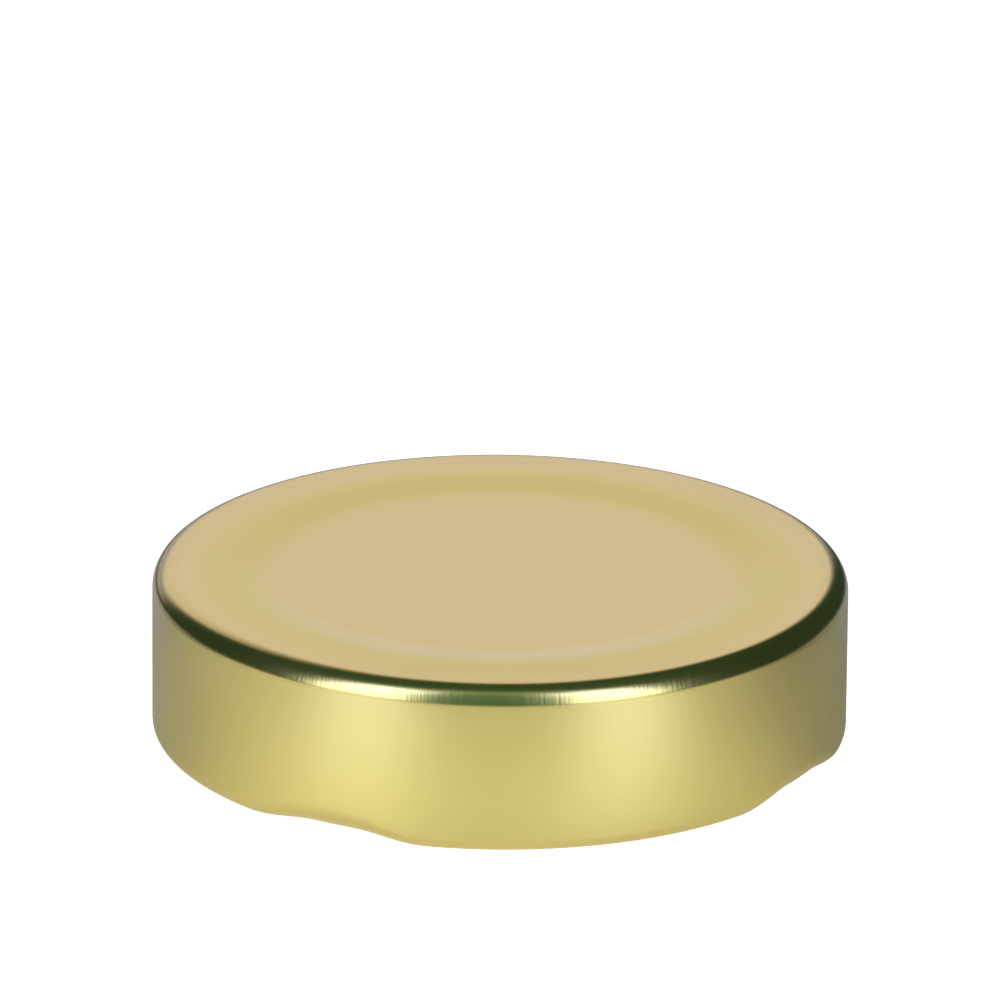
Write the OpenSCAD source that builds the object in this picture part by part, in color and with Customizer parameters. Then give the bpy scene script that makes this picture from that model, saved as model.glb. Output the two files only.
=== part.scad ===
// Deep twist-off jar lid: one stamped tinplate shell with a rolled edge and lugs,
// and the sealing ring that is flowed into the channel under its top ring.
// The origin is the centre of the circle on which the rolled edge stands.

/* [Lid] */
// Outside diameter of the skirt
skirt_diameter = 68.8; // [45:0.1:110]
// Height from the rolled edge to the flat ring on top
lid_height = 17; // [9:0.1:30]
// Thickness of the tinplate sheet
sheet = 0.18; // [0.14:0.01:0.3]

/* [Top] */
// Outside radius of the shoulder between the top and the skirt
shoulder_radius = 2.1; // [1.5:0.1:4]
// Width of the flat ring between the shoulder and the recess
ring_width = 5.1; // [4:0.1:8]
// Width of the slope that leads down to the centre panel
slope_width = 4.7; // [1.5:0.1:7]
// Depth of the centre panel below the flat ring
recess_depth = 0.35; // [0.1:0.05:1]

/* [Rolled edge] */
// Outside radius of the bend that turns the foot of the skirt inward
edge_bend = 1.35; // [0.9:0.05:1.8]
// Width of the sheet's level stretch under the rolled edge
edge_flat = 0.1; // [0.05:0.05:0.5]
// Outside radius of the roll on the inner side of the edge
edge_roll = 0.6; // [0.4:0.05:0.8]
// Length that the sheet runs back outward above the roll
edge_return = 0.2; // [0.1:0.05:0.4]
// Outside radius of the sheet's tucked-in end
tuck_radius = 0.45; // [0.35:0.05:0.6]
// Angle through which the sheet's end turns down into the roll
tuck_angle = 50; // [10:5:60]

/* [Lugs] */
// Number of lugs, evenly spaced
lug_count = 4; // [3:1:6]
// Direction of the first lug, counted from +X
first_lug_angle = 61.1; // [0:0.1:90]
// Angle that one lug takes up round the edge, with its run-outs
lug_span = 33.6; // [24:0.1:40]
// Angle of the run-out at either end of a lug
lug_runout = 13.5; // [6:0.5:16]
// Height of a lug's underside above the rolled edge
lug_lift = 0.6; // [0.2:0.05:1.2]
// Outside radius of the bend that turns the skirt into a lug
lug_bend = 2.3; // [1.5:0.05:3]
// Width of a lug's level underside
lug_flat = 0.6; // [0.2:0.05:1.5]
// Outside radius of a lug's rounded tip
lug_roll = 0.5; // [0.4:0.05:0.8]
// Length that the sheet runs back outward on top of a lug
lug_return = 0.4; // [0.1:0.05:1]

/* [Sealing ring] */
// Thickness of the sealing ring below the underside of the top ring
seal_thickness = 0.9; // [0.4:0.05:1.2]
// Distance from the top of the slope to the sealing ring's inner edge
seal_setback = 0.9; // [0.2:0.1:2]
// Radius of the sealing ring's inner lower edge
seal_edge_radius = 0.35; // [0.1:0.05:0.4]
// Clearance between the sealing ring's side and the shoulder
seal_clearance = 0.05; // [0.02:0.01:0.2]

/* [Hidden] */

$fn = 180;
bend_steps = 5;
roll_steps = 7;
tuck_steps = 2;
shoulder_steps = 12;
slope_steps = 12;
lug_steps = 14;
edge_steps = 14;

skirt_radius = skirt_diameter / 2;
shoulder_start = skirt_radius - shoulder_radius;
slope_top = shoulder_start - ring_width;
slope_foot = slope_top - slope_width;
ring_underside = lid_height - sheet;

// The lowest band of the skirt holds the rolled edge and the lugs, up to just above their bends.
// Its sheet steps in a little and reaches up inside the skirt's own sheet, which joins the two.
band_margin = 0.3;
band_top = max(edge_bend, lug_lift + lug_bend) + band_margin;
splice_height = 0.15;
splice_inset = sheet * 0.22;
lug_pitch = 360 / lug_count;

// Points along an arc, both ends included
function arc(centre, radius, from, to, steps) =
    [for (i = [0:steps]) let (a = from + (to - from) * i / steps)
        centre + radius * [cos(a), sin(a)]];

function reversed(points) = [for (i = [len(points) - 1:-1:0]) points[i]];

function mix(from, to, share) = from + (to - from) * share;

// Eased step from 0 to 1, level at both ends
function ease(x) = let (k = min(max(x, 0), 1)) k * k * (3 - 2 * k);

// One side of the sheet from the foot of the skirt to its tucked-in end. The sheet always turns
// the same way, so its inner side has the same centres and radii smaller by its thickness.
function band_side(lift, bend, flat, roll, back, depth, splice_depth) =
    let (
        bend_centre = [skirt_radius - bend, lift + bend],
        roll_centre = [bend_centre[0] - flat, lift + roll],
        tuck_centre = [roll_centre[0] + back, lift + 2 * roll - tuck_radius]
    )
    concat(
        [[skirt_radius - splice_depth, band_top + splice_height],
         [skirt_radius - splice_depth, band_top - splice_height]],
        arc(bend_centre, bend - depth, 0, -90, bend_steps),
        arc(roll_centre, roll - depth, -90, -270, roll_steps),
        arc(tuck_centre, tuck_radius - depth, -270, -270 - tuck_angle, tuck_steps)
    );

// Closed section of the lowest band: share 0 is the rolled edge and share 1 the middle of a lug
function band_section(share) =
    let (
        lift = mix(0, lug_lift, share),
        bend = mix(edge_bend, lug_bend, share),
        flat = mix(edge_flat, lug_flat, share),
        roll = mix(edge_roll, lug_roll, share),
        back = mix(edge_return, lug_return, share)
    )
    concat(
        band_side(lift, bend, flat, roll, back, 0, splice_inset),
        reversed(band_side(lift, bend, flat, roll, back, sheet, sheet - splice_inset))
    );

// How far the edge has turned into a lug at an angle from the lug's middle
function lug_share(angle) = ease((lug_span / 2 - abs(angle)) / lug_runout);

function turned(point, angle) = [point[0] * cos(angle), point[0] * sin(angle), point[1]];

// Slope from the centre panel up to the flat ring, as an eased curve
function slope_points(height) =
    [for (i = [0:slope_steps])
        [mix(slope_foot, slope_top, i / slope_steps),
         height - recess_depth * (1 - ease(i / slope_steps))]];

module upper_shell() {
    shoulder_centre = [shoulder_start, lid_height - shoulder_radius];
    rotate_extrude()
        polygon(concat(
            [[0, lid_height - recess_depth]],
            slope_points(lid_height),
            arc(shoulder_centre, shoulder_radius, 90, 0, shoulder_steps),
            [[skirt_radius, band_top]],
            [[skirt_radius - sheet, band_top]],
            arc(shoulder_centre, shoulder_radius - sheet, 0, 90, shoulder_steps),
            reversed(slope_points(ring_underside)),
            [[0, ring_underside - recess_depth]]
        ));
}

// The foot of the skirt: one closed loft of the sheet's section round the whole edge, which turns
// into a lug and back at each lug
module skirt_foot() {
    lug_stations = [for (i = [0:lug_steps - 1]) mix(-lug_span / 2, lug_span / 2, i / lug_steps)];
    edge_stations = [for (i = [0:edge_steps - 1])
        mix(lug_span / 2, lug_pitch - lug_span / 2, i / edge_steps)];
    sections = [for (i = [0:lug_count - 1], angle = concat(lug_stations, edge_stations))
        let (middle = first_lug_angle + i * lug_pitch)
            [for (point = band_section(lug_share(angle))) turned(point, middle + angle)]];
    count = len(sections[0]);
    last = len(sections);
    polyhedron(
        points = [for (section = sections) each section],
        faces = [for (i = [0:last - 1], j = [0:count - 1])
            let (
                next_row = (i + 1) % last,
                next_point = (j + 1) % count,
                here = i * count + j,
                beside = i * count + next_point,
                ahead = next_row * count + j,
                across = next_row * count + next_point
            )
            each [[here, ahead, beside], [beside, ahead, across]]],
        convexity = 6
    );
}

module lid_shell() {
    color([0.80, 0.73, 0.45])
        union() {
            upper_shell();
            skirt_foot();
        }
}

// The ring lies face to face with the underside of the top ring and reaches into the shoulder
module sealing_ring() {
    inner_edge = slope_top + seal_setback;
    seal_face = ring_underside - seal_thickness;
    side_radius = shoulder_radius - sheet - seal_clearance;
    side_centre = [shoulder_start, ring_underside - side_radius];
    side_end = asin((seal_face - side_centre[1]) / side_radius);
    color([0.93, 0.91, 0.84])
        rotate_extrude()
            polygon(concat(
                [[inner_edge, ring_underside]],
                arc(side_centre, side_radius, 90, side_end, shoulder_steps),
                arc([inner_edge + seal_edge_radius, seal_face + seal_edge_radius],
                    seal_edge_radius, -90, -180, bend_steps)
            ));
}

lid_shell();
sealing_ring();
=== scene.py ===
import math

import bpy
from mathutils import Matrix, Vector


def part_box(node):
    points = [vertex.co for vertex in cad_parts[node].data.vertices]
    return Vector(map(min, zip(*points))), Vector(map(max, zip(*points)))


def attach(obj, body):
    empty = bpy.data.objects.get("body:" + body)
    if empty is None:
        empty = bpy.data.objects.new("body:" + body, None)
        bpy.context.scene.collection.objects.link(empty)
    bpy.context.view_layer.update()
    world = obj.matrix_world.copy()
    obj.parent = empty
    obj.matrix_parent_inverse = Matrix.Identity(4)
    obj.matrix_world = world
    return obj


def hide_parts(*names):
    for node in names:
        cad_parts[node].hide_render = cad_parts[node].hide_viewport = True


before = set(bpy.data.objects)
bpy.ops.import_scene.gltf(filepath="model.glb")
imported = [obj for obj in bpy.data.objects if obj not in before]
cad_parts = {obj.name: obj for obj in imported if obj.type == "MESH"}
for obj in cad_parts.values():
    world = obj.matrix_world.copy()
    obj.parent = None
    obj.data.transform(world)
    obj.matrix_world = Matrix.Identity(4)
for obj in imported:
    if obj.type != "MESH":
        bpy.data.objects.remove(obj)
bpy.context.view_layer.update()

# The camera stands low in front of the lid with a long lens, far enough back for the lid to look
# almost without perspective. The lid sits a little below the middle of the square picture.
# Pixels are those of the picture, and the foot's centre is the middle of the skirt's lower end.
MM = 0.001
PICTURE = 1000
SENSOR = 36.0
CAMERA_ELEVATION = math.radians(20.92)
CAMERA_ROLL = math.radians(0.51)
CAMERA_DISTANCE_IN_RADII = 37.05
SKIRT_RADIUS_IN_PIXELS = 346.6
FOOT_CENTRE_PIXEL_X = 501.2
FOOT_CENTRE_PIXEL_Y = 726.9

shell_low, shell_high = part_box("lid_shell")
skirt_radius = (shell_high[0] - shell_low[0]) / 2
lid_height = shell_high[2] - shell_low[2]
camera_distance = CAMERA_DISTANCE_IN_RADII * skirt_radius
focal_pixels = SKIRT_RADIUS_IN_PIXELS / skirt_radius * camera_distance
pitch = CAMERA_ELEVATION - math.atan((FOOT_CENTRE_PIXEL_Y - PICTURE / 2) / focal_pixels)
yaw = math.atan((FOOT_CENTRE_PIXEL_X - PICTURE / 2) / focal_pixels)

camera_data = bpy.data.cameras.new("camera")
camera_data.sensor_width = SENSOR
camera_data.lens = focal_pixels * SENSOR / PICTURE
camera = bpy.data.objects.new("camera", camera_data)
bpy.context.scene.collection.objects.link(camera)
camera.matrix_world = (
    Matrix.Translation((
        0,
        -camera_distance * math.cos(CAMERA_ELEVATION),
        camera_distance * math.sin(CAMERA_ELEVATION),
    ))
    @ Matrix.Rotation(yaw, 4, "Z")
    @ Matrix.Rotation(math.pi / 2 - pitch, 4, "X")
    @ Matrix.Rotation(CAMERA_ROLL, 4, "Z")
)
bpy.context.scene.camera = camera
bpy.context.scene.view_settings.view_transform = "Standard"


# Lid shell: one disc of gold-lacquered tinplate, drawn to a cap in a press. Its centre panel is
# sunk below a flat ring, its edge is rolled inward, and the roll is pressed flat into four lugs.
SHEET_THICKNESS = 0.18 * MM
SHOULDER_RADIUS = 2.1 * MM
RING_WIDTH = 4.7 * MM
SLOPE_WIDTH = 5.6 * MM
RECESS_DEPTH = 0.35 * MM
TUCK_RADIUS = 0.45 * MM
TUCK_END_ANGLE = -320
LUG_COUNT = 4
FIRST_LUG_AZIMUTH = math.radians(61.1)
LUG_SPAN = math.radians(33.6)
LUG_RUNOUT = math.radians(13.5)
ROUND_STEPS = 288
SLOPE_STEPS = 20
SHOULDER_STEPS = 20
SKIRT_STEPS = 10
BEND_STEPS = 12
ROLL_STEPS = 18
TUCK_STEPS = 5
MERGE_DISTANCE = 0.001 * MM
SHELL_CREASE = math.radians(40)

shoulder_start = skirt_radius - SHOULDER_RADIUS
skirt_top = lid_height - SHOULDER_RADIUS
slope_top = shoulder_start - RING_WIDTH
slope_foot = slope_top - SLOPE_WIDTH
panel_height = lid_height - RECESS_DEPTH


def arc(centre, radius, start, end, steps):
    """Points (radius, height) along an arc, both ends included; the angles are in degrees."""
    turns = [math.radians(start + (end - start) * i / steps) for i in range(steps + 1)]
    return [(centre[0] + radius * math.cos(a), centre[1] + radius * math.sin(a)) for a in turns]


def ease(x):
    """Step from 0 to 1, level at both ends."""
    x = min(max(x, 0.0), 1.0)
    return x * x * (3 - 2 * x)


def edge_line(lift, bend, flat, roll, back):
    """Outer side of the sheet at the foot of the skirt, from its bend to its tucked-in end.

    Its lowest point is lifted off the floor. A flat lies between the radii of the bend and the
    roll, and the tuck's centre is back from the roll's.
    """
    bend_centre = (skirt_radius - bend, lift + bend)
    roll_centre = (bend_centre[0] - flat, lift + roll)
    tuck_centre = (roll_centre[0] + back, lift + 2 * roll - TUCK_RADIUS)
    return (
        arc(bend_centre, bend, 0, -90, BEND_STEPS)
        + arc(roll_centre, roll, -90, -270, ROLL_STEPS)
        + arc(tuck_centre, TUCK_RADIUS, -270, TUCK_END_ANGLE, TUCK_STEPS)
    )


slope = [
    (slope_foot + SLOPE_WIDTH * i / SLOPE_STEPS, panel_height + RECESS_DEPTH * ease(i / SLOPE_STEPS))
    for i in range(1, SLOPE_STEPS + 1)
]
shoulder = arc((shoulder_start, skirt_top), SHOULDER_RADIUS, 90, 0, SHOULDER_STEPS)
rolled_edge = edge_line(lift=0, bend=1.35 * MM, flat=0.1 * MM, roll=0.6 * MM, back=0.2 * MM)
lug = edge_line(lift=0.6 * MM, bend=2.3 * MM, flat=0.6 * MM, roll=0.5 * MM, back=0.4 * MM)
lug_bend_top = lug[0][1]
skirt = [
    (skirt_radius, skirt_top + (lug_bend_top - skirt_top) * i / SKIRT_STEPS)
    for i in range(1, SKIRT_STEPS + 1)
]


def keep_place(name):
    """Names the shape just added and puts its place in its mesh, with its object at the origin."""
    bpy.ops.object.transform_apply(location=True, rotation=True, scale=True)
    shape = bpy.context.object
    shape.name = name
    return shape


def draw_out(rings):
    """Extrudes the selected open edge from ring to ring; a ring is its radius and height."""
    for before, after in zip(rings, rings[1:]):
        share = after[0] / before[0]
        rise = after[1] - before[1]
        bpy.ops.mesh.extrude_edges_move(TRANSFORM_OT_translate={"value": (0, 0, rise)})
        bpy.ops.transform.resize(value=(share, share, 1), center_override=(0, 0, 0))


def close_mesh():
    """Merges the doubled points of the shape, turns its faces outwards and ends edit mode."""
    bpy.ops.mesh.select_all(action="SELECT")
    bpy.ops.mesh.remove_doubles(threshold=MERGE_DISTANCE)
    bpy.ops.mesh.normals_make_consistent(inside=False)
    bpy.ops.object.mode_set(mode="OBJECT")


bpy.ops.object.select_all(action="DESELECT")
bpy.ops.mesh.primitive_circle_add(
    vertices=ROUND_STEPS, radius=slope_foot, fill_type="TRIFAN", location=(0, 0, panel_height)
)
shell = keep_place("gold_shell")
bpy.ops.object.mode_set(mode="EDIT")
bpy.ops.mesh.select_mode(type="EDGE")
bpy.ops.mesh.select_all(action="DESELECT")
bpy.ops.mesh.select_non_manifold()
draw_out([(slope_foot, panel_height)] + slope + shoulder + skirt + rolled_edge)
bpy.ops.object.mode_set(mode="OBJECT")

# Four stretches of the rolled edge are pressed from the roll's section to the lug's, with a
# run-out at each end of a lug's span.
lug_pitch = 2 * math.pi / LUG_COUNT
first_edge_vertex = len(shell.data.vertices) - ROUND_STEPS * len(rolled_edge)
for vertex in shell.data.vertices[first_edge_vertex:]:
    step = (vertex.index - first_edge_vertex) // ROUND_STEPS
    angle = math.atan2(vertex.co.y, vertex.co.x)
    off_lug = (angle - FIRST_LUG_AZIMUTH + lug_pitch / 2) % lug_pitch - lug_pitch / 2
    share = ease((LUG_SPAN / 2 - abs(off_lug)) / LUG_RUNOUT)
    radius = rolled_edge[step][0] + share * (lug[step][0] - rolled_edge[step][0])
    height = rolled_edge[step][1] + share * (lug[step][1] - rolled_edge[step][1])
    vertex.co = (radius * math.cos(angle), radius * math.sin(angle), height)

bpy.ops.object.mode_set(mode="EDIT")
close_mesh()
wall = shell.modifiers.new("sheet", "SOLIDIFY")
wall.thickness = SHEET_THICKNESS
wall.offset = -1
wall.use_even_offset = True
wall.material_offset_rim = 1
bpy.ops.object.modifier_apply(modifier="sheet")
bpy.ops.object.shade_smooth_by_angle(angle=SHELL_CREASE)


def new_finish(name):
    """Adds a material, and gives it with its node tree and its shader."""
    finish = bpy.data.materials.new(name)
    finish.use_nodes = True
    return finish, finish.node_tree, finish.node_tree.nodes["Principled BSDF"]


def fill(node, inputs):
    """Gives each named input of a node a number, a colour or another node's output."""
    for socket, value in inputs.items():
        if isinstance(value, bpy.types.NodeSocket):
            node.id_data.links.new(value, node.inputs[socket])
        else:
            node.inputs[socket].default_value = value


def add_node(tree, kind, inputs, **settings):
    """Adds a node with its settings and its inputs filled."""
    node = tree.nodes.new(kind)
    for setting, value in settings.items():
        setattr(node, setting, value)
    fill(node, inputs)
    return node


def object_place(tree):
    """Place on the piece, in metres."""
    return add_node(tree, "ShaderNodeTexCoord", {}).outputs["Object"]


def split_axes(tree, vector):
    """The x, y and z of a vector."""
    axes = add_node(tree, "ShaderNodeSeparateXYZ", {"Vector": vector})
    return [axes.outputs[axis] for axis in "XYZ"]


def maths(tree, operation, *values):
    """Result of one operation; each value is a number or another node's output."""
    return add_node(tree, "ShaderNodeMath", dict(enumerate(values)), operation=operation).outputs["Value"]


def distance(tree, across, along):
    """Distance of a place from a middle, from how far across and along it lies."""
    across_squared = maths(tree, "MULTIPLY", across, across)
    along_squared = maths(tree, "MULTIPLY", along, along)
    return maths(tree, "POWER", maths(tree, "ADD", across_squared, along_squared), 0.5)


def remap(tree, value, old, new, smooth=False):
    """Carries a value from one range to another and clamps it there."""
    change = add_node(
        tree,
        "ShaderNodeMapRange",
        {"Value": value, "From Min": old[0], "From Max": old[1], "To Min": new[0], "To Max": new[1]},
        interpolation_type="SMOOTHSTEP" if smooth else "LINEAR",
    )
    return change.outputs["Result"]


def add_noise(tree, vector, scale, detail=2.0):
    """Noise with about scale grains to each unit of the vector, which is a metre for a place."""
    noise = add_node(tree, "ShaderNodeTexNoise", {"Vector": vector, "Scale": scale, "Detail": detail})
    return noise.outputs["Fac"]


def colour_ramp(tree, value, stops, interpolation="LINEAR"):
    """Turns a value into a colour; each stop is a value from 0 to 1 and its colour."""
    ramp = add_node(tree, "ShaderNodeValToRGB", {"Fac": value})
    ramp.color_ramp.interpolation = interpolation
    elements = ramp.color_ramp.elements
    for element, (position, colour) in zip(elements, (stops[0], stops[-1])):
        element.position = position
        element.color = (*colour, 1.0)
    for position, colour in stops[1:-1]:
        elements.new(position).color = (*colour, 1.0)
    return ramp.outputs["Color"]


def add_relief(tree, height, depth, below=None):
    """Relief of a real depth in metres, on top of the relief below."""
    relief = add_node(tree, "ShaderNodeBump", {"Distance": depth, "Height": height})
    if below is not None:
        fill(relief, {"Normal": below})
    return relief.outputs["Normal"]


# The lacquer is a little thicker here and thinner there, which shifts its yellow slightly.
THICK_LACQUER = (0.592, 0.455, 0.150)
THIN_LACQUER = (0.608, 0.465, 0.160)
PATCH_SCALE = 60.0
gold, gold_tree, gold_shader = new_finish("gold_lacquer")
place = object_place(gold_tree)
place_x, place_y, place_z = split_axes(gold_tree, place)
place_radius = distance(gold_tree, place_x, place_y)
patches = add_noise(gold_tree, place, PATCH_SCALE)
lacquer = colour_ramp(gold_tree, patches, ((0.35, THICK_LACQUER), (0.65, THIN_LACQUER)))

# Drawing leaves fine lines that run over the shoulder and down the skirt, and makes them rougher,
# most of all near the foot.
LINE_SCALE = 130.0
LINE_DRIFT = 0.35
drawn = remap(gold_tree, place_radius, (shoulder_start, skirt_radius), (0.0, 1.0))
around = add_node(
    gold_tree,
    "ShaderNodeCombineXYZ",
    {
        "X": maths(gold_tree, "DIVIDE", place_x, place_radius),
        "Y": maths(gold_tree, "DIVIDE", place_y, place_radius),
        "Z": maths(gold_tree, "MULTIPLY", place_z, LINE_DRIFT),
    },
)
draw_lines = add_noise(gold_tree, around.outputs["Vector"], LINE_SCALE)

# The denoiser treats metal above and below a roughness of 0.274 differently, and leaves dots where
# a grain crosses it. So the roughness steps over it at the top of the skirt, within a thin band.
NOISE_SPREAD = (0.3, 0.7)
GRAIN_SCALE = 1400.0
FLAT_ROUGHNESS = (0.212, 0.228)
LINE_ROUGHNESS = (0.0, 0.03)
SKIRT_ROUGHNESS = (0.07, 0.24)
ROUGHEST_HEIGHT = 2 * MM
STEP_BAND = 0.05 * MM
grain = add_noise(gold_tree, place, GRAIN_SCALE)
flat_roughness = remap(gold_tree, grain, NOISE_SPREAD, FLAT_ROUGHNESS)
line_roughness = remap(gold_tree, draw_lines, NOISE_SPREAD, LINE_ROUGHNESS)
foot_roughness = remap(gold_tree, place_z, (skirt_top, ROUGHEST_HEIGHT), SKIRT_ROUGHNESS)
below_shoulder = remap(gold_tree, place_z, (skirt_top - STEP_BAND, skirt_top + STEP_BAND), (1.0, 0.0))
skirt_roughness = maths(gold_tree, "MULTIPLY", foot_roughness, below_shoulder)
added_roughness = maths(gold_tree, "ADD", line_roughness, skirt_roughness)
drawn_roughness = maths(gold_tree, "MULTIPLY", added_roughness, drawn)

# The lacquer dries with a faint peel, and the drawing lines can be felt on the shoulder only.
PEEL_SCALE = 1600.0
PEEL_DEPTH = 0.0009 * MM
LINE_DEPTH = 0.012 * MM
LINE_FADE = 0.4 * MM
peel = add_relief(gold_tree, add_noise(gold_tree, place, PEEL_SCALE, detail=1.0), PEEL_DEPTH)
on_shoulder = remap(gold_tree, place_z, (skirt_top, skirt_top + LINE_FADE), (0.0, 1.0))
drawn_lines = maths(gold_tree, "MULTIPLY", draw_lines, drawn)
line_relief = maths(gold_tree, "MULTIPLY", drawn_lines, on_shoulder)
fill(gold_shader, {
    "Metallic": 1.0,
    "Coat Weight": 0.2,
    "Coat Roughness": 0.12,
    "Base Color": lacquer,
    "Roughness": maths(gold_tree, "ADD", flat_roughness, drawn_roughness),
    "Normal": add_relief(gold_tree, line_relief, LINE_DEPTH, peel),
})
shell.data.materials.append(gold)

# The cut edge of the sheet is bare steel, dulled by the marks of the shear.
SHEAR_SCALE = 3000.0
SHEAR_ROUGHNESS = (0.35, 0.6)
bare, bare_tree, bare_shader = new_finish("bare_steel_edge")
shear_marks = add_noise(bare_tree, object_place(bare_tree), SHEAR_SCALE)
fill(bare_shader, {
    "Metallic": 1.0,
    "Base Color": (0.50, 0.50, 0.49, 1.0),
    "Roughness": remap(bare_tree, shear_marks, (0.0, 1.0), SHEAR_ROUGHNESS),
})
shell.data.materials.append(bare)

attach(shell, "root")
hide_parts("lid_shell")


# Sealing ring: compound that is flowed into the channel under the top ring and cured there. It
# sticks to the sheet, reaches into the shoulder, and its face is a little hollow between its edges.
SEAL_THICKNESS = 0.9 * MM
SEAL_SETBACK = 0.5 * MM
SEAL_EDGE_RADIUS = 0.35 * MM
SEAL_CLEARANCE = 0.05 * MM
SEAL_HOLLOW = 0.10 * MM
SEAL_SIDE_STEPS = 16
SEAL_EDGE_STEPS = 8
SEAL_FACE_STEPS = 16
SEAL_CREASE = math.radians(50)

channel_top = lid_height - SHEET_THICKNESS
seal_inner = slope_top + SEAL_SETBACK
seal_face = channel_top - SEAL_THICKNESS
side_radius = SHOULDER_RADIUS - SHEET_THICKNESS - SEAL_CLEARANCE
side_centre = (shoulder_start, channel_top - side_radius)
side_end = math.degrees(math.asin((seal_face - side_centre[1]) / side_radius))
seal_side = arc(side_centre, side_radius, 90, side_end, SEAL_SIDE_STEPS)
edge_centre = (seal_inner + SEAL_EDGE_RADIUS, seal_face + SEAL_EDGE_RADIUS)
seal_edge = arc(edge_centre, SEAL_EDGE_RADIUS, -90, -180, SEAL_EDGE_STEPS)
face_outer = seal_side[-1][0]
face_inner = seal_edge[0][0]
seal_bottom = [
    (
        face_outer + (face_inner - face_outer) * i / SEAL_FACE_STEPS,
        seal_face + SEAL_HOLLOW * math.sin(math.pi * i / SEAL_FACE_STEPS) ** 2,
    )
    for i in range(1, SEAL_FACE_STEPS)
]
seal_corner = (seal_inner, channel_top)

bpy.ops.object.select_all(action="DESELECT")
bpy.ops.mesh.primitive_circle_add(
    vertices=ROUND_STEPS, radius=seal_inner, location=(0, 0, channel_top)
)
seal = keep_place("seal_compound_ring")
bpy.ops.object.mode_set(mode="EDIT")
bpy.ops.mesh.select_all(action="SELECT")
draw_out([seal_corner] + seal_side + seal_bottom + seal_edge + [seal_corner])
close_mesh()
bpy.ops.object.shade_smooth_by_angle(angle=SEAL_CREASE)

# The compound is cream, a little waxy inside, with a matt skin that rippled as it set.
DEEP_CREAM = (0.74, 0.70, 0.58)
PALE_CREAM = (0.80, 0.77, 0.66)
CREAM_SCALE = 120.0
SKIN_SCALE = 700.0
SKIN_ROUGHNESS = (0.42, 0.62)
RIPPLE_SCALE = 450.0
RIPPLE_DEPTH = 0.02 * MM
compound, compound_tree, compound_shader = new_finish("cured_compound")
compound_place = object_place(compound_tree)
cream = add_noise(compound_tree, compound_place, CREAM_SCALE, detail=3.0)
skin = add_noise(compound_tree, compound_place, SKIN_SCALE)
ripple = add_noise(compound_tree, compound_place, RIPPLE_SCALE)
fill(compound_shader, {
    "Subsurface Weight": 0.15,
    "Subsurface Radius": (1.0, 0.8, 0.5),
    "Subsurface Scale": 0.4 * MM,
    "Base Color": colour_ramp(compound_tree, cream, ((0.3, DEEP_CREAM), (0.7, PALE_CREAM))),
    "Roughness": remap(compound_tree, skin, (0.0, 1.0), SKIN_ROUGHNESS),
    "Normal": add_relief(compound_tree, ripple, RIPPLE_DEPTH),
})
seal.data.materials.append(compound)

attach(seal, "root")
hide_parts("sealing_ring")


# The floor: a pale board on a dark table. The board carries soft painted pools of light, a glow that only
# mirror rays see, which the skirt mirrors as painted reflections. It ends close by, so the metal shows
# the table beyond it. The camera sees board and table as one white floor with the lid's faint shadow on
# it.
BOARD_SIZE = 360 * MM
BOARD_CENTRE = (-15 * MM, -75 * MM, 0)
WHITE_FOR_CAMERA = 0.94
POOL_SLANT = 0.1
bpy.ops.object.select_all(action="DESELECT")
bpy.ops.mesh.primitive_plane_add(size=BOARD_SIZE, location=BOARD_CENTRE)
board = keep_place("floor_board")
white, white_tree, white_shader = new_finish("white_board")
white_x, white_y = split_axes(white_tree, object_place(white_tree))[:2]
white_ray = add_node(white_tree, "ShaderNodeLightPath", {})


def light_pool(position, full_at, ends_at, bright, dim=0.0):
    """Light that fades from one place on the board to another, along one direction."""
    return remap(white_tree, position, (full_at, ends_at), (bright, dim), smooth=True)


def spot_pool(x, y, ends_at, bright, full_at=0.0, narrow=1.0):
    """Pool of light round a middle, full within one radius and gone at another.

    It is narrower from left to right where narrow is above 1.
    """
    across = maths(white_tree, "MULTIPLY", maths(white_tree, "SUBTRACT", white_x, x), narrow)
    along = maths(white_tree, "SUBTRACT", white_y, y)
    return light_pool(distance(white_tree, across, along), full_at, ends_at, bright)


# Painted light, a glow that the metal alone sees: a wide pool lies in front and a narrow one behind. A
# yellow crescent of painted glow lies close to the lid's front. Two bright painted spots make the skirt's
# light columns, and three dim ones lighten its sides.
slanted = maths(white_tree, "ADD", white_y, maths(white_tree, "MULTIPLY", white_x, POOL_SLANT))
front_pool = light_pool(slanted, full_at=-50 * MM, ends_at=20 * MM, bright=0.70, dim=0.04)
back_pool = light_pool(white_y, full_at=50 * MM, ends_at=12 * MM, bright=0.12)
front_half = light_pool(white_y, full_at=-30 * MM, ends_at=-5 * MM, bright=0.34)
near_disc = spot_pool(0.0, 0.0, full_at=50 * MM, ends_at=76 * MM, bright=1.0, narrow=1.25)
near_middle = spot_pool(0.0, 0.0, full_at=36 * MM, ends_at=44 * MM, bright=0.6, narrow=1.25)
near_ring = maths(white_tree, "SUBTRACT", near_disc, near_middle)
surface = white_shader.outputs["BSDF"]
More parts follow.
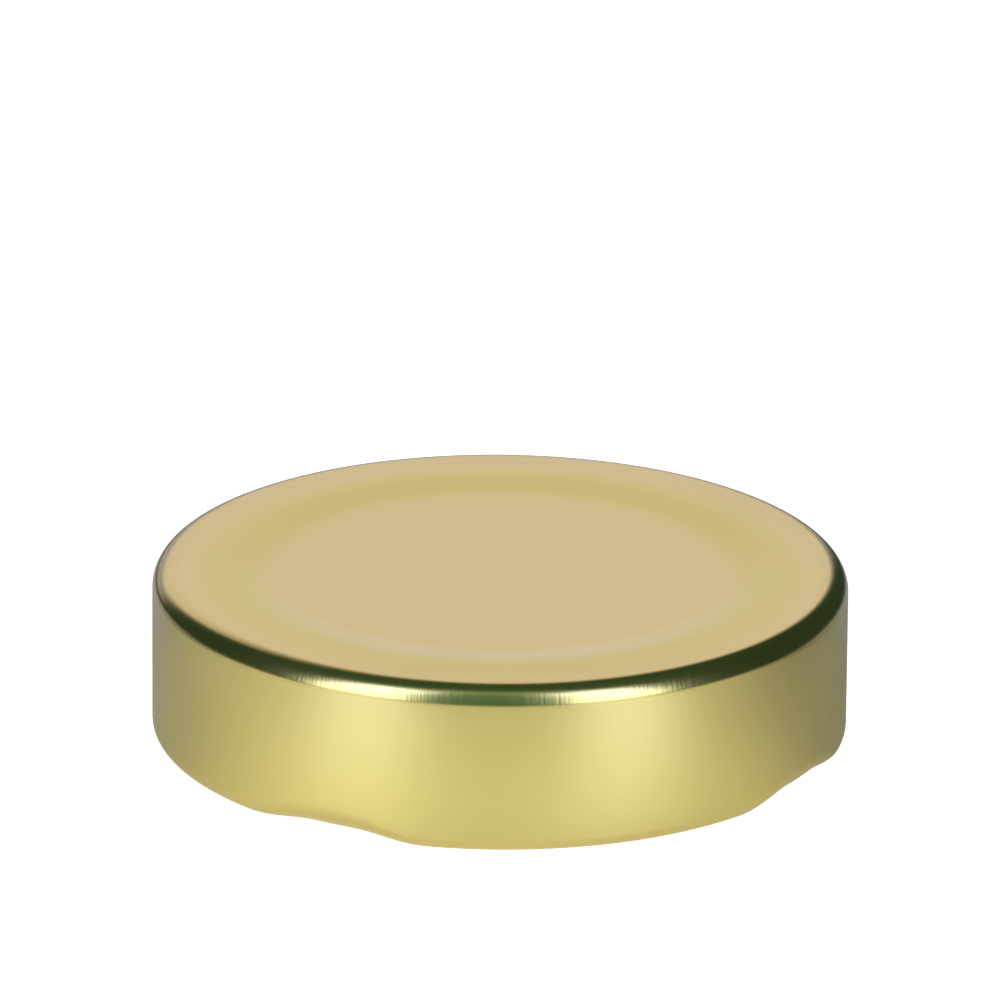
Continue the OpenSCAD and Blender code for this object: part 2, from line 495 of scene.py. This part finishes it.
for pool, colour in (
    (maths(white_tree, "ADD", front_pool, back_pool), (0.95, 1.03, 0.93)),
    (maths(white_tree, "MULTIPLY", front_half, near_ring), (1.0, 1.12, 0.65)),
    (spot_pool(x=-37 * MM, y=-59 * MM, ends_at=30 * MM, bright=0.57), (1.0, 1.19, 2.0)),
    (spot_pool(x=39 * MM, y=-57 * MM, ends_at=28 * MM, bright=0.60), (1.0, 1.17, 1.95)),
    (spot_pool(x=-62 * MM, y=6 * MM, ends_at=40 * MM, bright=0.25), (1.0, 1.1, 0.7)),
    (spot_pool(x=52 * MM, y=8 * MM, ends_at=34 * MM, bright=0.16), (1.0, 1.1, 0.6)),
    (spot_pool(x=-54 * MM, y=-34 * MM, ends_at=28 * MM, bright=0.12), (1.0, 1.1, 0.8)),
):
    seen_by_metal = maths(white_tree, "MULTIPLY", pool, white_ray.outputs["Is Glossy Ray"])
    glow = add_node(
        white_tree, "ShaderNodeEmission", {"Color": (*colour, 1.0), "Strength": seen_by_metal}
    )
    both = add_node(white_tree, "ShaderNodeAddShader", {0: surface, 1: glow.outputs["Emission"]})
    surface = both.outputs["Shader"]
fill(white_tree.nodes["Material Output"], {"Surface": surface})
fill(white_shader, {
    "Base Color": (0.52, 0.45, 0.41, 1.0),
    "Roughness": 0.40,
    "IOR": 1.6,
    "Emission Color": (1.0, 1.0, 1.0, 1.0),
    "Emission Strength": maths(
        white_tree, "MULTIPLY", white_ray.outputs["Is Camera Ray"], WHITE_FOR_CAMERA
    ),
})
board.data.materials.append(white)

# The table lies just under the board. It is dark and nearly matt, and white to the camera alone.
TABLE_SIZE = 6.0
TABLE_DROP = 0.5 * MM
bpy.ops.object.select_all(action="DESELECT")
bpy.ops.mesh.primitive_plane_add(size=TABLE_SIZE, location=(0, 0, -TABLE_DROP))
table = keep_place("floor_table")
dark, dark_tree, dark_shader = new_finish("dark_table")
dark_ray = add_node(dark_tree, "ShaderNodeLightPath", {})
fill(dark_shader, {
    "Base Color": (0.04, 0.06, 0.05, 1.0),
    "Roughness": 0.7,
    "Specular IOR Level": 0.2,
    "Emission Color": (1.0, 1.0, 1.0, 1.0),
    "Emission Strength": dark_ray.outputs["Is Camera Ray"],
})
table.data.materials.append(dark)


# The scrim: a round film just over the flat top, which the camera doesn't see. Its glow is painted light:
# it glows softly and lets a tenth of the room's light through, so the top mirrors an even light and keeps
# its own colour from every side. Its glow is a little yellower over the slope and the inner part of the
# ring, a painted reflection that the top mirrors there.
SCRIM_RADIUS = 32.3 * MM
SCRIM_FADE = 0.6 * MM
SCRIM_GAP = 0.5 * MM
SCRIM_STEPS = 96
FILM_SEE_THROUGH = 0.10
FILM_GLOW = 0.882
FILM_MIDDLE = (0.989, 0.955, 0.999)
FILM_YELLOW = (0.94, 0.947, 0.82)
FILM_RIM = (0.989, 0.965, 0.985)
bpy.ops.object.select_all(action="DESELECT")
bpy.ops.mesh.primitive_circle_add(
    vertices=SCRIM_STEPS,
    radius=SCRIM_RADIUS,
    fill_type="NGON",
    location=(0, 0, lid_height + SCRIM_GAP),
)
scrim = keep_place("light_scrim")
scrim.visible_camera = False
film, film_tree, film_shader = new_finish("scrim_film")
film_tree.nodes.remove(film_shader)
film_radius = distance(film_tree, *split_axes(film_tree, object_place(film_tree))[:2])
film_tint = colour_ramp(
    film_tree,
    remap(film_tree, film_radius, (0.0, SCRIM_RADIUS), (0.0, 1.0)),
    ((0.69, FILM_MIDDLE), (0.77, FILM_YELLOW), (0.88, FILM_YELLOW), (0.95, FILM_RIM)),
    interpolation="EASE",
)
film_dim = add_node(
    film_tree,
    "ShaderNodeBsdfTransparent",
    {"Color": (FILM_SEE_THROUGH, FILM_SEE_THROUGH, FILM_SEE_THROUGH, 1.0)},
)
film_glow = add_node(
    film_tree, "ShaderNodeEmission", {"Color": film_tint, "Strength": FILM_GLOW}
)
film_sheet = add_node(
    film_tree,
    "ShaderNodeAddShader",
    {0: film_dim.outputs["BSDF"], 1: film_glow.outputs["Emission"]},
)
film_clear = add_node(film_tree, "ShaderNodeBsdfTransparent", {})
rim_fade = (SCRIM_RADIUS - SCRIM_FADE, SCRIM_RADIUS)
film_edge = add_node(
    film_tree,
    "ShaderNodeMixShader",
    {
        0: remap(film_tree, film_radius, rim_fade, (1.0, 0.0), smooth=True),
        1: film_clear.outputs["BSDF"],
        2: film_sheet.outputs["Shader"],
    },
)
fill(film_tree.nodes["Material Output"], {"Surface": film_edge.outputs["Shader"]})
scrim.data.materials.append(film)


# The studio round the lid: two tall soft boxes in front, a pale panel behind, and a dark green room
# elsewhere, which the metal mirrors as one dark band along the shoulder. The camera itself sees only
# white round the floor. Azimuths count in degrees from the camera's side, or from the back, to +X.
ROOM_GREEN = (0.045, 0.11, 0.07, 1.0)
BOX_STRENGTH = 2.8

# The azimuth of the middle and half the width of each box and of the panel behind.
LEFT_BOX = (-46.0, 15.5)
RIGHT_BOX = (39.0, 15.0)
BACK_PANEL = (-12.0, 22.0)

world = bpy.data.worlds.new("studio")
bpy.context.scene.world = world
world.use_nodes = True
room = world.node_tree
view_direction = add_node(room, "ShaderNodeTexCoord", {}).outputs["Generated"]
to_right, to_back, upward = split_axes(room, view_direction)
to_front = maths(room, "MULTIPLY", to_back, -1.0)
elevation = maths(room, "DEGREES", maths(room, "ARCSINE", upward))
front_azimuth = maths(room, "DEGREES", maths(room, "ARCTAN2", to_right, to_front))
back_azimuth = maths(room, "DEGREES", maths(room, "ARCTAN2", to_right, to_back))


def fade_out(angle, edge, softness):
    """1 below the edge and 0 above it, in degrees, with a soft change between them."""
    return remap(room, angle, (edge - softness, edge + softness), (1.0, 0.0), smooth=True)


def add_panel(light, azimuth, centre, half_width, top, fades, colour, strength=1.0):
    """Stands one lit panel before the light of the room, from the floor up to its top.

    The two fades soften its sides and its top.
    """
    across = maths(room, "ABSOLUTE", maths(room, "SUBTRACT", azimuth, centre))
    sides = fade_out(across, half_width, fades[0])
    lit = maths(room, "MULTIPLY", sides, fade_out(elevation, top, fades[1]))
    panel_light = (*(strength * part for part in colour), 1.0)
    panel = add_node(
        room, "ShaderNodeMix", {"Factor": lit, "A": light, "B": panel_light}, data_type="RGBA"
    )
    return panel.outputs["Result"]


# The room is darker below than above. In front a paler strip shows over the soft boxes. Each box
# is a little yellower in its lower part, and the panel behind has a dim strip near its foot.
light = ROOM_GREEN
for centre, half_width, top, fades, colour in (
    (0.0, 200.0, 55.0, (4.0, 15.0), (0.03, 0.062, 0.04)),
    (-3.0, 50.0, 76.0, (8.0, 8.0), (0.30, 0.42, 0.34)),
    (-3.0, 60.0, 60.0, (10.0, 8.0), (0.08, 0.22, 0.15)),
):
    light = add_panel(light, front_azimuth, centre, half_width, top, fades, colour)
for top, fades, colour in (
    (60.0, (2.5, 9.0), (1.0, 1.2, 2.0)),
    (25.0, (2.5, 8.0), (1.0, 1.2, 1.5)),
):
    for centre, half_width in (LEFT_BOX, RIGHT_BOX):
        light = add_panel(
            light, front_azimuth, centre, half_width, top, fades, colour, BOX_STRENGTH
        )
for top, fades, colour in (
    (42.0, (6.0, 14.0), (1.01, 0.975, 1.02)),
    (11.0, (6.0, 5.0), (0.20, 0.20, 0.40)),
    (4.0, (6.0, 3.0), (0.90, 0.90, 0.85)),
):
    light = add_panel(light, back_azimuth, *BACK_PANEL, top, fades, colour)

ray = add_node(room, "ShaderNodeLightPath", {})
seen = add_node(
    room,
    "ShaderNodeMix",
    {"Factor": ray.outputs["Is Camera Ray"], "A": light, "B": (1.0, 1.0, 1.0, 1.0)},
    data_type="RGBA",
)
fill(room.nodes["Background"], {"Color": seen.outputs["Result"]})
